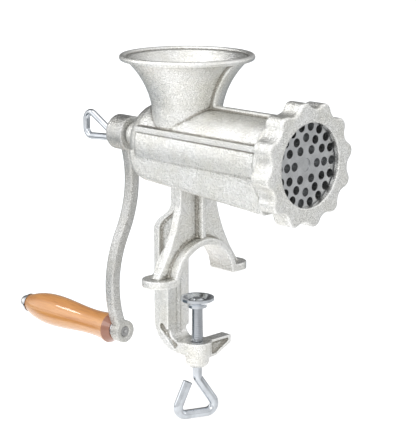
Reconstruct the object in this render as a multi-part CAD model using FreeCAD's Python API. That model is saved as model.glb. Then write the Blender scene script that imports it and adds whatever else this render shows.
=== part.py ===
import FreeCAD, Part
import math
import os

# Hand crank meat grinder that clamps to a table edge.
# X runs along the barrel towards the mouth, Y across it and Z up.
# Pieces are modelled about the barrel axis, and the origin ends at the table seat under the feet.

V = FreeCAD.Vector
ORIGIN = V(0, 0, 0)
ALONG_X = V(1, 0, 0)
ALONG_Y = V(0, 1, 0)
ALONG_Z = V(0, 0, 1)

# Heights from the barrel axis
axis_height = 104.4
table_z = -axis_height

# Fits
running_gap = 0.05
loose_gap = 0.2
face_gap = 0.3
thread_gap = 0.3

# Barrel of the casting
barrel_radius = 30.0
barrel_wall = 5.5
barrel_bore = barrel_radius - barrel_wall
barrel_rear_x = -38.0
barrel_length = 148.8
rear_step = 1.0
rear_round = 16.0
bearing_radius = 9.8
bearing_face_x = -71.0
rear_wall_x = -41.0
rib_height = 4.0
rib_z = 12.0
rib_reach = 30.4
fin_width = 5.0
fin_rise = 3.0

# Flat sided skirt under the barrel
skirt_half_width = 28.2
skirt_rear_x = -48.0
skirt_corner_x = -26.0
skirt_top_z = -6.0
skirt_rear_z = -28.3
skirt_front_z = -36.5
skirt_edge_round = 4.0

# Threaded collar, plate recess and knife chamber at the mouth
collar_radius = 38.2
collar_length = 16.8
collar_front_x = barrel_rear_x + barrel_length
collar_rear_x = collar_front_x - collar_length
flare_length = 7.0
barrel_flare_x = collar_rear_x - flare_length
recess_depth = 7.8
recess_x = collar_front_x - recess_depth
chamber_radius = 33.0
chamber_length = 8.0
chamber_x = recess_x - chamber_length
chamber_flare_length = 9.0
chamber_flare_x = chamber_x - chamber_flare_length

# Hopper
hopper_x = -10.4
hopper_rim_radius = 52.0
hopper_rim_z = 69.5
hopper_bead = 2.4
hopper_wall = 4.0
hopper_neck_radius = 27.5
hopper_neck_z = 30.0
hopper_waist_radius = 32.8
hopper_waist_z = 46.0
hopper_root_radius = 26.0

# Leg plate, arch and feet
plate_back_x = -5.0
plate_front_x = 2.0
leg_half_width = 19.5
leg_straight_z = -45.0
leg_mid_half_width = 27.0
leg_mid_z = -69.0
leg_foot_half_width = 45.0
leg_rib_width = 4.4
leg_rib_front_x = 8.0
arch_radius = 29.0
arch_drop = 1.6
arch_rim = 5.0
foot_width = 26.0
foot_centre_x = -2.0
foot_reach = 52.0
foot_thickness = 6.0
leg_foot_z = table_z + foot_thickness * 0.9

# Clamp frame behind the table edge
spine_half_width = 12.0
neck_rear_x = -17.0
neck_end_z = -44.0
spine_rear_x = -36.5
spine_start_z = -71.0
throat_x = -21.0
web_bottom_z = -71.0
clamp_opening = 52.6
arm_height = 9.0
arm_top_z = table_z - clamp_opening
arm_bottom_z = arm_top_z - arm_height
arm_bend_radius = 24.0
throat_round = 6.0
seam_width = 1.6
seam_rise = 0.8
flange_width = 6.0
pocket_depth = 3.0
pocket_rise = 6.4
pocket_bottom_z = table_z + pocket_rise
arm_pocket_radius = 2.6

# Threaded boss of the clamp and the ear beside it
boss_radius = 11.8
boss_rise = 1.0
boss_top_z = arm_top_z + boss_rise
boss_shoulder_radius = 9.6
boss_length = 15.5
boss_shoulder_z = boss_top_z - boss_length
boss_chin = 6.0
boss_bottom_z = boss_shoulder_z - boss_chin
ear_reach = 33.0
ear_width = 10.0
ear_tip_height = 6.5
ear_root_height = 14.0
ear_root_y = 16.0
ear_pocket_depth = 2.5

# Clamp screw and its swivel pad
screw_radius = 5.0
screw_pitch = 1.5
thread_depth = 0.8
screw_rod_radius = 3.8
pad_drop = 16.0
pad_top_z = table_z - pad_drop
pad_radius = 13.2
pad_rim = 2.2
pad_dish_depth = 2.6
pad_height = 8.0
pad_collar_radius = 7.5
pad_pin_radius = 3.5
rivet_radius = 5.4
rivet_height = 1.6
thread_overlap = 3.5
screw_thread_end_z = boss_bottom_z + thread_overlap
loop_drop = 12.5
loop_apex_z = boss_bottom_z - loop_drop
loop_height = 26.0
loop_base_z = loop_apex_z - loop_height
loop_half_width = 19.8
loop_bend_radius = 6.5
loop_turn_deg = 68.0
loop_end_gap = 0.6

# Feed screw inside the barrel
shaft_radius = 6.5
bush_radius = 9.0
bush_length = 12.0
bush_rear_x = rear_wall_x - bush_length
worm_gap = 0.8
worm_setback = 22.8
worm_front_x = collar_front_x - worm_setback
worm_rear_radius = 11.0
worm_front_radius = 14.0
worm_pitch = 34.0
flight_root_width = 7.0
flight_tip_width = 4.0
flight_sunk = 2.0
flight_rear_gap = 8.0
flight_start_x = rear_wall_x + flight_rear_gap
flight_front_gap = 4.0
flight_end_x = worm_front_x - flight_front_gap
thrust_thickness = 2.0
thrust_radius = 17.0
shaft_flat_half = 5.0

# Knife, its stud and the grinding plate
stud_radius = 6.0
stud_depth = 20.0
stud_half_square = 5.5
pilot_radius = 5.0
knife_thickness = 9.0
knife_hub_radius = 12.0
knife_radius = 31.0
knife_blade_width = 11.0
knife_blade_tip_width = 7.0
knife_blades = 4
plate_radius = 35.0
plate_gap = 0.8
plate_thickness = recess_depth - plate_gap
plate_hole_radius = 3.3
plate_first_orbit = 12.0
plate_orbit_step = 8.0
plate_rings = 3
plate_ring_holes = 6
key_radius = 1.6
key_orbit = 35.6
key_depth = 7.0
key_stand = 6.0

# Ring nut
ring_radius = 46.4
ring_thickness = 17.0
ring_lip = 4.6
lip_gap = 0.4
ring_front_x = collar_front_x + loose_gap + lip_gap + ring_lip
ring_mouth_radius = 31.0
ring_lobes = 12
ring_lobe_radius = 6.5
ring_valley_radius = 41.2
ring_lobe_turn_deg = 97.8
ring_edge_round = 1.4

# Crank
crank_radius = 166.8
hub_radius = 14.0
hub_width = 18.0
hub_gap = 0.5
crank_boss_radius = 9.3
crank_boss_width = 9.5
crank_boss_front_x = -83.5
crank_boss_chamfer = 1.2
arm_width = 9.5
arm_thickness = 10.0
arm_front_x = -78.5
arm_lean = 6.0
arm_round = 2.6
arm_sweep = 9.8

# Thumb screw that holds the crank on
thumb_radius = 3.0
thumb_pitch = 1.0
thumb_depth = 16.0
thumb_hole_spare = 4.0
thumb_rod_radius = 2.7
thumb_apex = 9.0
thumb_base = 36.5
thumb_half_width = 12.0
thumb_rise = 3.9
thumb_bend_radius = 6.0
thumb_washer_radius = 9.0
thumb_washer_thickness = 1.6
shaft_end_recess = 1.5

# Handle
spindle_radius = 4.0
spindle_sunk = 1.0
spindle_dimple_radius = 1.9
handle_washer_radius = 8.0
handle_washer_thickness = 1.6
grip_length = 111.0
grip_front_radius = 8.5
grip_chamfer = 6.0
grip_flare_radius = 12.7
grip_waist_radius = 10.6
grip_waist_at = 34.0
grip_belly_radius = 13.3
grip_belly_at = 76.0
grip_tail_radius = 7.4
cap_radius = 5.9
cap_skirt = 3.6
cap_length = cap_skirt + cap_radius


def tube_x(radius, x0, x1):
    """Solid cylinder along X about the barrel axis."""
    return Part.makeCylinder(radius, x1 - x0, V(x0, 0, 0), ALONG_X)


def tube_z(radius, z0, z1, x=0.0):
    """Solid cylinder along Z."""
    return Part.makeCylinder(radius, z1 - z0, V(x, 0, z0), ALONG_Z)


def block(x0, x1, y0, y1, z0, z1):
    """Box between two corners."""
    return Part.makeBox(x1 - x0, y1 - y0, z1 - z0, V(x0, y0, z0))


def line(a, b):
    """Straight edge."""
    return Part.LineSegment(a, b).toShape()


def arc(a, middle, b):
    """Circular edge through three points."""
    return Part.Arc(a, middle, b).toShape()


def bend(points):
    """Smooth edge drawn by its control points."""
    curve = Part.BezierCurve()
    curve.setPoles(points)
    return curve.toShape()


def polygon(points):
    """Flat face with straight sides."""
    return Part.Face(Part.makePolygon(points + [points[0]]))


def face(edges):
    """Flat face inside a chain of edges."""
    return Part.Face(Part.Wire(edges))


def spun_x(edges, axis_z=0.0):
    """Solid of revolution about a line along X."""
    return face(edges).revolve(V(0, 0, axis_z), ALONG_X, 360)


def chain(points):
    """Straight edges from point to point."""
    return [line(a, b) for a, b in zip(points, points[1:]) if not a.isEqual(b, 1e-6)]


def both_sides(shape):
    """A shape and its mirror image across the plane of symmetry."""
    return [shape, shape.mirror(ORIGIN, ALONG_Y)]


def rounded_route(points, radius):
    """Straight runs joined by tangent arcs of one radius."""
    edges = []
    start = points[0]
    for before, corner, after in zip(points, points[1:], points[2:]):
        back = (before - corner).normalize()
        ahead = (after - corner).normalize()
        half = back.getAngle(ahead) / 2
        reach = radius / math.tan(half)
        middle = (back + ahead).normalize()
        first = corner + back * reach
        last = corner + ahead * reach
        crown = corner + middle * (radius / math.sin(half) - radius)
        edges.append(line(start, first))
        edges.append(arc(first, crown, last))
        start = last
    edges.append(line(start, points[-1]))
    return edges


def bent_rod(points, bend_radius, rod_radius):
    """Round rod bent along a route."""
    route = Part.Wire(rounded_route(points, bend_radius))
    section = Part.Wire(Part.makeCircle(rod_radius, points[0], points[1] - points[0]))
    return route.makePipeShell([section], True, True)


def threaded_rod(radius, pitch, depth, length):
    """Screw thread standing on Z from the origin, with a plain core."""
    core = radius - depth
    sunk = 0.1
    helix = Part.makeLongHelix(pitch, length - pitch, core)
    foot = pitch * 0.42
    section = Part.makePolygon([
        V(core - sunk, 0, -foot),
        V(radius, 0, -pitch * 0.06),
        V(radius, 0, pitch * 0.06),
        V(core - sunk, 0, foot),
        V(core - sunk, 0, -foot),
    ])
    ridge = Part.Wire(helix).makePipeShell([section], True, True)
    ridge.translate(V(0, 0, pitch / 2))
    return Part.makeCylinder(core, length).fuse(ridge)


def hopper_profile(grow):
    """Inner or outer flare of the hopper, moved outwards by grow, as its three points."""
    neck = V(hopper_neck_radius, 0, hopper_neck_z)
    waist = V(hopper_waist_radius, 0, hopper_waist_z)
    lip = V(hopper_rim_radius - hopper_bead, 0, hopper_rim_z - hopper_bead)
    flare = arc(neck, waist, lip).Curve
    centre = flare.Center
    scale = (flare.Radius - grow) / flare.Radius
    return [centre + (point - centre) * scale for point in (neck, waist, lip)]


def hopper_solid(grow, root_radius, top_z):
    """Solid inside a hopper flare, from the barrel axis up to top_z."""
    neck, waist, lip = hopper_profile(grow)
    edges = chain([lip, V(lip.x, 0, top_z), V(0, 0, top_z), ORIGIN, V(root_radius, 0, 0), neck])
    edges.append(arc(neck, waist, lip))
    solid = face(edges).revolve(ORIGIN, ALONG_Z, 360)
    solid.translate(V(hopper_x, 0, 0))
    return solid


def barrel_outside():
    """Turned outside of the barrel, from the rear bearing to the threaded collar."""
    shoulder = V(barrel_rear_x, 0, barrel_radius - rear_step)
    root = shoulder - V(rear_round, 0, rear_round)
    slant = rear_round * math.sqrt(0.5)
    edges = chain([
        V(collar_front_x, 0, 0),
        V(bearing_face_x, 0, 0),
        V(bearing_face_x, 0, bearing_radius),
        V(root.x, 0, bearing_radius),
        root,
    ])
    edges.append(arc(root, V(shoulder.x - slant, 0, root.z + slant), shoulder))
    edges += chain([
        shoulder,
        V(barrel_rear_x, 0, barrel_radius),
        V(barrel_flare_x, 0, barrel_radius),
        V(collar_rear_x, 0, collar_radius),
        V(collar_front_x, 0, collar_radius),
        V(collar_front_x, 0, 0),
    ])
    return spun_x(edges)


def barrel_skirt():
    """Flat sided trough under the barrel, with its lower edges rounded."""
    half = skirt_half_width
    corner = V(skirt_corner_x, -half, skirt_rear_z)
    rear = V(skirt_rear_x, -half, skirt_top_z)
    front = V(collar_rear_x, -half, skirt_front_z)
    elbow = V(skirt_rear_x, -half, skirt_rear_z)
    sweep = bend([rear, (rear + elbow * 2) * (1 / 3), (corner + elbow * 2) * (1 / 3), corner])
    edges = [sweep] + chain([corner, front, V(collar_rear_x, -half, skirt_top_z), rear])
    solid = face(edges).extrude(V(0, 2 * half, 0))
    sides = [e for e in solid.Edges if abs(abs(e.CenterOfMass.y) - half) < 0.01]
    low = [e for e in sides if e.BoundBox.ZMin < skirt_top_z - 1 and e.BoundBox.XMin < collar_rear_x - 1]
    return solid.makeFillet(skirt_edge_round, low)


def barrel_ribs():
    """Side ribs of the barrel, and the fin along its top and up the hopper."""
    ribs = block(
        barrel_rear_x, collar_rear_x, -rib_reach, rib_reach,
        rib_z - rib_height / 2, rib_z + rib_height / 2)
    fin_top = tube_x(barrel_radius + fin_rise, hopper_x, collar_rear_x)
    hopper_fin = hopper_solid(fin_rise, hopper_root_radius + fin_rise, hopper_rim_z - hopper_bead)
    slab = block(
        skirt_rear_x, collar_rear_x, -fin_width / 2, fin_width / 2,
        rib_z, hopper_rim_z - hopper_bead)
    return [ribs, fin_top.common(slab), hopper_fin.common(slab)]


def leg():
    """Plate under the barrel with its arch, rim, central rib and two feet."""
    right = [
        V(plate_back_x, leg_half_width, 0),
        V(plate_back_x, leg_half_width, leg_straight_z),
    ]
    flare = [
        V(plate_back_x, leg_half_width, leg_straight_z),
        V(plate_back_x, leg_mid_half_width, leg_mid_z),
        V(plate_back_x, leg_foot_half_width, leg_foot_z),
    ]
    flip = FreeCAD.Matrix(1, 0, 0, 0, 0, -1, 0, 0, 0, 0, 1, 0, 0, 0, 0, 1)
    left_flare = [flip.multVec(p) for p in flare]
    left = [flip.multVec(p) for p in right]
    right_foot = V(plate_back_x, leg_foot_half_width, table_z)
    left_foot = V(plate_back_x, -leg_foot_half_width, table_z)
    edges = chain(right)
    edges.append(arc(*flare))
    edges += chain([flare[-1], right_foot, left_foot, left_flare[-1]])
    edges.append(arc(*left_flare))
    edges += chain([left[-1], left[0], right[0]])
    plate = face(edges).extrude(V(plate_front_x - plate_back_x, 0, 0))
    foot_back = foot_centre_x - foot_width / 2
    foot_front = foot_centre_x + foot_width / 2
    rim = tube_x(arch_radius + arch_rim, foot_back, foot_front)
    rim.translate(V(0, 0, table_z - arch_drop))
    above = block(foot_back, foot_front, -foot_reach, foot_reach, table_z, 0)
    tip_y = foot_reach - foot_width / 2
    tongue = block(foot_back, foot_front, -tip_y, tip_y, table_z, table_z + foot_thickness)
    tips = both_sides(Part.makeCylinder(foot_width / 2, foot_thickness, V(foot_centre_x, tip_y, table_z)))
    crown = table_z - arch_drop + arch_radius
    rib = block(plate_back_x, leg_rib_front_x, -leg_rib_width / 2, leg_rib_width / 2, crown, 0)
    solid = plate.multiFuse([rim.common(above), tongue, rib] + tips)
    opening = tube_x(arch_radius, foot_back - 1, foot_front + 1)
    opening.translate(V(0, 0, table_z - arch_drop))
    return solid.cut(opening)


def spine():
    """Clamp frame: neck, upright behind the table edge and lower arm, with recessed sides."""
    half = spine_half_width

    def at(x, z):
        return V(x, -half, z)

    mid_z = (neck_end_z + spine_start_z) / 2
    shift = arm_bend_radius * (1 - math.sqrt(0.5))
    bend_start = arm_bottom_z + arm_bend_radius
    bend_end = spine_rear_x + arm_bend_radius
    inner = throat_round * (1 - math.sqrt(0.5))
    edges = chain([at(plate_front_x, arm_top_z), at(throat_x + throat_round, arm_top_z)])
    edges.append(arc(
        at(throat_x + throat_round, arm_top_z),
        at(throat_x + inner, arm_top_z + inner),
        at(throat_x, arm_top_z + throat_round)))
    edges += chain([at(throat_x, arm_top_z + throat_round), at(throat_x, web_bottom_z - throat_round)])
    edges.append(arc(
        at(throat_x, web_bottom_z - throat_round),
        at(throat_x + inner, web_bottom_z - inner),
        at(throat_x + throat_round, web_bottom_z)))
    edges += chain([
        at(throat_x + throat_round, web_bottom_z),
        at(plate_front_x, web_bottom_z),
        at(plate_front_x, -barrel_bore),
        at(neck_rear_x, -barrel_bore),
        at(neck_rear_x, neck_end_z),
    ])
    edges.append(bend([
        at(neck_rear_x, neck_end_z), at(neck_rear_x, mid_z),
        at(spine_rear_x, mid_z), at(spine_rear_x, spine_start_z)]))
    edges += chain([at(spine_rear_x, spine_start_z), at(spine_rear_x, bend_start)])
    edges.append(arc(
        at(spine_rear_x, bend_start),
        at(spine_rear_x + shift, arm_bottom_z + shift),
        at(bend_end, arm_bottom_z)))
    edges += chain([
        at(bend_end, arm_bottom_z),
        at(plate_front_x, arm_bottom_z),
        at(plate_front_x, arm_top_z),
    ])
    solid = face(edges).extrude(V(0, 2 * half, 0))
    seam = block(throat_x, throat_x + seam_rise, -seam_width / 2, seam_width / 2, arm_top_z, web_bottom_z)
    inset = flange_width
    pocket_edges = [bend([
        at(neck_rear_x + inset, neck_end_z), at(neck_rear_x + inset, mid_z),
        at(spine_rear_x + inset, mid_z), at(spine_rear_x + inset, spine_start_z)])]
    pocket_edges += chain([
        at(spine_rear_x + inset, spine_start_z),
        at(spine_rear_x + inset, pocket_bottom_z),
        at(throat_x - inset / 2, pocket_bottom_z),
        at(throat_x - inset / 2, web_bottom_z - throat_round),
        at(throat_x + throat_round, web_bottom_z + inset),
        at(plate_back_x - 1, web_bottom_z + inset),
        at(plate_back_x - 1, neck_end_z),
        at(neck_rear_x + inset, neck_end_z),
    ])
    pocket = face(pocket_edges).extrude(V(0, pocket_depth, 0))
    slot_top = at(spine_rear_x + flange_width + arm_pocket_radius, bend_start - inset)
    slot_end = at(-boss_radius, (arm_top_z + arm_bottom_z) / 2)
    run = slot_end - slot_top
    slot = Part.makeBox(run.Length, 2 * arm_pocket_radius, pocket_depth)
    slot.translate(V(0, -arm_pocket_radius, 0))
    slot = slot.fuse(Part.makeCylinder(arm_pocket_radius, pocket_depth))
    slot.rotate(ORIGIN, ALONG_X, 90)
    slot.rotate(ORIGIN, ALONG_Y, -math.degrees(math.atan2(run.z, run.x)))
    slot.translate(slot_top + V(0, pocket_depth, 0))
    return solid.fuse(seam).cut(Part.makeCompound(both_sides(pocket) + both_sides(slot)))


def clamp_boss():
    """Boss that carries the clamp screw, and the ear that stands out beside it."""
    shoulder = V(boss_shoulder_radius, 0, boss_shoulder_z)
    drop = boss_shoulder_z - boss_bottom_z
    foot = V(boss_shoulder_radius - drop, 0, boss_bottom_z)
    turn = drop * math.sqrt(0.5)
    edges = chain([V(0, 0, boss_bottom_z), V(0, 0, boss_top_z), V(boss_radius, 0, boss_top_z), shoulder])
    edges.append(arc(shoulder, V(foot.x + turn, 0, boss_shoulder_z - turn), foot))
    edges.append(line(foot, V(0, 0, boss_bottom_z)))
    boss = face(edges).revolve(ORIGIN, ALONG_Z, 360)
    half = ear_width / 2
    outline = [
        V(-half, 0, arm_top_z),
        V(-half, ear_reach, arm_top_z),
        V(-half, ear_reach, arm_top_z - ear_tip_height),
        V(-half, ear_root_y, arm_top_z - ear_root_height),
        V(-half, 0, arm_top_z - ear_root_height),
    ]
    ear = polygon(outline).extrude(V(ear_width, 0, 0))
    edge = ear_tip_height / 3
    recess = [
        V(-half, boss_radius, arm_top_z - edge),
        V(-half, ear_reach - edge, arm_top_z - edge),
        V(-half, ear_reach - edge, arm_top_z - ear_tip_height + edge),
        V(-half, ear_root_y, arm_top_z - ear_root_height + edge),
        V(-half, boss_radius, arm_top_z - ear_root_height + edge),
    ]
    near = polygon(recess).extrude(V(ear_pocket_depth, 0, 0))
    far = near.copy()
    far.translate(V(ear_width - ear_pocket_depth, 0, 0))
    return boss.fuse(ear.cut(Part.makeCompound([near, far])))


def chamber():
    """Inside of the barrel: feed bore, knife chamber, plate recess and rear bearing bore."""
    edges = chain([
        V(rear_wall_x, 0, 0),
        V(rear_wall_x, 0, barrel_bore),
        V(chamber_flare_x, 0, barrel_bore),
        V(chamber_x, 0, chamber_radius),
        V(recess_x, 0, chamber_radius),
        V(recess_x, 0, plate_radius + loose_gap),
        V(collar_front_x + 1, 0, plate_radius + loose_gap),
        V(collar_front_x + 1, 0, 0),
        V(rear_wall_x, 0, 0),
    ])
    bush_seat = tube_x(bush_radius, bush_rear_x, rear_wall_x + 1)
    shaft_hole = tube_x(shaft_radius + loose_gap, bearing_face_x - 1, rear_wall_x)
    return spun_x(edges).multiFuse([bush_seat, shaft_hole])


def body_casting():
    """One casting: barrel, hopper, leg and clamp frame."""
    rim_centre = hopper_rim_radius - hopper_bead
    bead = Part.makeTorus(rim_centre, hopper_bead, V(hopper_x, 0, hopper_rim_z - hopper_bead), ALONG_Z)
    hopper = hopper_solid(0.0, hopper_root_radius, hopper_rim_z - hopper_bead)
    cast_on = [barrel_skirt(), hopper, bead, leg(), spine(), clamp_boss()]
    outside = barrel_outside().multiFuse(cast_on + barrel_ribs())
    throat_radius = hopper_root_radius - hopper_wall
    passage = hopper_solid(-hopper_wall, throat_radius, hopper_rim_z + hopper_bead)
    screw_hole = tube_z(screw_radius + thread_gap, boss_bottom_z - 1, boss_top_z + 1)
    key_hole = tube_x(key_radius, recess_x - key_depth, collar_front_x + 1)
    key_hole.translate(V(0, 0, -key_orbit))
    return outside.cut(Part.makeCompound([chamber().fuse(passage), screw_hole, key_hole])).removeSplitter()


def rear_bush():
    """Plain bearing sleeve in the rear boss."""
    return tube_x(bush_radius, bush_rear_x, rear_wall_x).cut(
        tube_x(shaft_radius + running_gap, bush_rear_x - 1, rear_wall_x + 1))


def thrust_washer():
    """Washer between the rear wall and the shoulder of the feed screw."""
    front = rear_wall_x + thrust_thickness
    return tube_x(thrust_radius, rear_wall_x, front).cut(
        tube_x(shaft_radius + loose_gap, rear_wall_x - 1, front + 1))


def worm_shoulder_x():
    """Where the thick part of the feed screw begins."""
    return rear_wall_x + thrust_thickness + face_gap


def shaft_end_x():
    """Rear end of the feed screw, just inside the crank hub."""
    return bearing_face_x - hub_gap - hub_width + shaft_end_recess


def crank_flats(gap):
    """Flat sided end of the shaft, or with a gap the hole in the crank that fits it."""
    rear = bearing_face_x - hub_gap - hub_width - 1
    front = bearing_face_x - hub_gap
    reach = shaft_flat_half + gap
    slab = block(rear, front, -2 * shaft_radius, 2 * shaft_radius, -reach, reach)
    return tube_x(shaft_radius + gap, rear, front).common(slab)


def feed_screw():
    """Worm with its shaft, made of one casting."""
    start = worm_shoulder_x()
    core = spun_x(chain([
        V(start, 0, 0),
        V(start, 0, worm_rear_radius),
        V(worm_front_x, 0, worm_front_radius),
        V(worm_front_x, 0, 0),
        V(start, 0, 0),
    ]))
    reach = barrel_bore - worm_gap
    sunk = worm_rear_radius - flight_sunk
    length = flight_end_x - flight_start_x
    helix = Part.makeLongHelix(worm_pitch, length, sunk)
    root = flight_root_width / 2
    tip = flight_tip_width / 2
    section = Part.makePolygon([
        V(sunk, 0, -root), V(reach, 0, -tip), V(reach, 0, tip), V(sunk, 0, root), V(sunk, 0, -root)])
    flight = Part.Wire(helix).makePipeShell([section], True, True)
    flight.rotate(ORIGIN, ALONG_Y, 90)
    flight.translate(V(flight_start_x, 0, 0))
    journal = tube_x(shaft_radius, bearing_face_x - hub_gap, start)
    tail = crank_flats(0.0).common(tube_x(shaft_radius, shaft_end_x(), bearing_face_x))
    tapped_end = shaft_end_x() + thumb_depth + thumb_hole_spare
    tapped = tube_x(thumb_radius + thread_gap, shaft_end_x() - 1, tapped_end)
    socket = tube_x(stud_radius, worm_front_x - stud_depth, worm_front_x + 1)
    return core.multiFuse([flight, journal, tail]).cut(Part.makeCompound([tapped, socket]))


def plate_rear_x():
    """Rear face of the grinding plate, where the knife runs."""
    return collar_front_x + loose_gap - plate_thickness


def knife_stud():
    """Steel stud in the nose of the worm: square for the knife, round for the plate."""
    square_end = plate_rear_x() - face_gap
    half = stud_half_square
    square = block(worm_front_x, square_end, -half, half, -half, half)
    pilot = tube_x(pilot_radius, square_end, plate_rear_x() + plate_thickness - 1)
    return tube_x(stud_radius, worm_front_x - stud_depth, worm_front_x).multiFuse([square, pilot])


def cutting_knife():
    """Cross shaped knife with a square hole."""
    front = plate_rear_x() - face_gap
    rear = front - knife_thickness
    hub = tube_x(knife_hub_radius, rear, front)
    blades = []
    for number in range(knife_blades):
        blade = polygon([
            V(rear, -knife_blade_width / 2, 0),
            V(rear, knife_blade_width / 2, 0),
            V(front, knife_blade_width / 2, 0),
            V(front, -knife_blade_tip_width / 2, 0),
        ]).extrude(V(0, 0, knife_radius))
        blade.rotate(ORIGIN, ALONG_X, 360 * number / knife_blades)
        blades.append(blade)
    half = stud_half_square + running_gap
    hole = block(rear - 1, front + 1, -half, half, -half, half)
    return hub.multiFuse(blades).cut(hole)


def grinding_plate():
    """Perforated plate, notched for the key."""
    rear = plate_rear_x()
    front = rear + plate_thickness
    holes = [tube_x(pilot_radius + running_gap, rear - 1, front + 1)]
    for ring in range(plate_rings):
        count = plate_ring_holes * (ring + 1)
        for number in range(count):
            hole = tube_x(plate_hole_radius, rear - 1, front + 1)
            hole.translate(V(0, plate_first_orbit + plate_orbit_step * ring, 0))
            hole.rotate(ORIGIN, ALONG_X, 360 * number / count)
            holes.append(hole)
    notch = tube_x(key_radius + loose_gap, rear - 1, front + 1)
    notch.translate(V(0, 0, -key_orbit))
    return tube_x(plate_radius, rear, front).cut(Part.makeCompound(holes + [notch]))


def plate_key_pin():
    """Pin in the collar that stops the plate from turning."""
    pin = tube_x(key_radius, recess_x - key_depth, recess_x + key_stand)
    pin.translate(V(0, 0, -key_orbit))
    return pin


def ring_outline(x):
    """Closed outline of the ring: round lobes and round valleys that run into each other."""
    step = math.pi / ring_lobes
    lobe_orbit = ring_radius - ring_lobe_radius
    drop = ring_lobe_radius - ring_valley_radius
    valley_orbit = (lobe_orbit ** 2 - drop ** 2) / (2 * (drop + lobe_orbit * math.cos(step)))
    valley_round = valley_orbit - ring_valley_radius

    def at(orbit, turn):
        return V(x, orbit * math.cos(turn), orbit * math.sin(turn))

    def meets(lobe_turn, valley_turn):
        lobe = at(lobe_orbit, lobe_turn)
        share = ring_lobe_radius / (ring_lobe_radius + valley_round)
        return lobe + (at(valley_orbit, valley_turn) - lobe) * share

    edges = []
    for number in range(ring_lobes):
        turn = math.radians(ring_lobe_turn_deg) + 2 * step * number
        before = meets(turn, turn - step)
        after = meets(turn, turn + step)
        edges.append(arc(before, at(ring_radius, turn), after))
        edges.append(arc(after, at(ring_valley_radius, turn + step), meets(turn + 2 * step, turn + step)))
    return edges


def ring_nut():
    """Lobed ring that screws over the collar and holds the plate in."""
    rear = ring_front_x - ring_thickness
    lobed = face(ring_outline(rear)).extrude(V(ring_thickness, 0, 0))
    rims = [e for e in lobed.Edges if e.BoundBox.XLength < 0.01]
    lobed = lobed.makeFillet(ring_edge_round, rims)
    bore = tube_x(collar_radius + thread_gap, rear - 1, ring_front_x - ring_lip)
    mouth = tube_x(ring_mouth_radius, rear, ring_front_x + 1)
    return lobed.cut(bore.fuse(mouth))


def crank_arm():
    """Cast crank: hub, S shaped arm in the plane it turns in, and the boss of the handle."""
    hub_front = bearing_face_x - hub_gap
    hub = tube_x(hub_radius, hub_front - hub_width, hub_front)
    half_chord = crank_radius / 4
    radius = (half_chord ** 2 + arm_sweep ** 2) / (2 * arm_sweep)
    half_turn = math.asin(half_chord / radius)
    rear = arm_front_x - arm_thickness

    def on(side, middle_z, offset, turn):
        centre_y = side * (arm_sweep - radius)
        reach = radius + offset
        return V(rear, centre_y + side * reach * math.cos(turn), middle_z + reach * math.sin(turn))

    def run(side, middle_z, offset):
        return arc(
            on(side, middle_z, offset, half_turn),
            on(side, middle_z, offset, 0),
            on(side, middle_z, offset, -half_turn))

    upper_z = -half_chord
    lower_z = -3 * half_chord
    half = arm_width / 2
    edges = [run(1, upper_z, half), run(-1, lower_z, -half)]
    edges.append(line(edges[1].Vertexes[-1].Point, on(-1, lower_z, half, -half_turn)))
    back = [run(-1, lower_z, half), run(1, upper_z, -half)]
    edges += back
    edges.append(line(on(1, upper_z, -half, half_turn), on(1, upper_z, half, half_turn)))
    bar = Part.Face(Part.Wire(Part.__sortEdges__(edges))).extrude(V(arm_thickness, 0, 0))
    long_edges = [e for e in bar.Edges if e.BoundBox.XLength < 0.01 and e.Length > arm_width * 2]
    bar = bar.makeFillet(arm_round, long_edges)
    bar.rotate(V(arm_front_x, 0, 0), ALONG_Y, math.degrees(math.atan2(arm_lean, crank_radius)))
    boss_rear = crank_boss_front_x - crank_boss_width
    boss = tube_x(crank_boss_radius, boss_rear, crank_boss_front_x)
    rim = V(crank_boss_front_x - crank_boss_chamfer, 0, 0)
    sink_radius = spindle_radius + crank_boss_chamfer
    sink = Part.makeCone(spindle_radius, sink_radius, crank_boss_chamfer, rim, ALONG_X)
    pin_hole = tube_x(spindle_radius, boss_rear - 1, crank_boss_front_x).fuse(sink)
    spot_face = tube_x(crank_boss_radius + loose_gap, boss_rear - arm_thickness, boss_rear)
    for shape in (boss, pin_hole, spot_face):
        shape.translate(V(0, 0, -crank_radius))
    arm = hub.fuse(bar.cut(spot_face)).fuse(boss)
    return arm.cut(Part.makeCompound([crank_flats(running_gap), pin_hole]))


def hub_rear_x():
    """Outer face of the crank hub."""
    return bearing_face_x - hub_gap - hub_width


def crank_washer():
    """Washer under the thumb screw."""
    front = hub_rear_x() - face_gap
    rear = front - thumb_washer_thickness
    return tube_x(thumb_washer_radius, rear, front).cut(
        tube_x(thumb_radius + thread_gap, rear - 1, front + 1))


def crank_thumb_screw():
    """Thumb screw with a bent wire loop, screwed into the shaft end."""
    seat = hub_rear_x() - 2 * face_gap - thumb_washer_thickness
    stem = shaft_end_x() + thumb_depth - seat
    thread = threaded_rod(thumb_radius, thumb_pitch, thumb_radius * 0.15, stem)
    thread.rotate(ORIGIN, ALONG_Y, 90)
    thread.translate(V(seat, 0, 0))
    collar = tube_x(thumb_radius * 1.7, seat - thumb_rod_radius, seat)
    apex = seat - thumb_apex
    base = seat - thumb_base
    loop = bent_rod([
        V(seat - thumb_rod_radius / 2, 0, 0),
        V(apex, 0, 0),
        V(base, 0, thumb_rise + thumb_half_width),
        V(base, 0, thumb_rise - thumb_half_width),
        V(apex + thumb_rod_radius, 0, -thumb_rod_radius * 2 - loop_end_gap),
    ], thumb_bend_radius, thumb_rod_radius)
    return thread.multiFuse([collar, loop])


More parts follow.
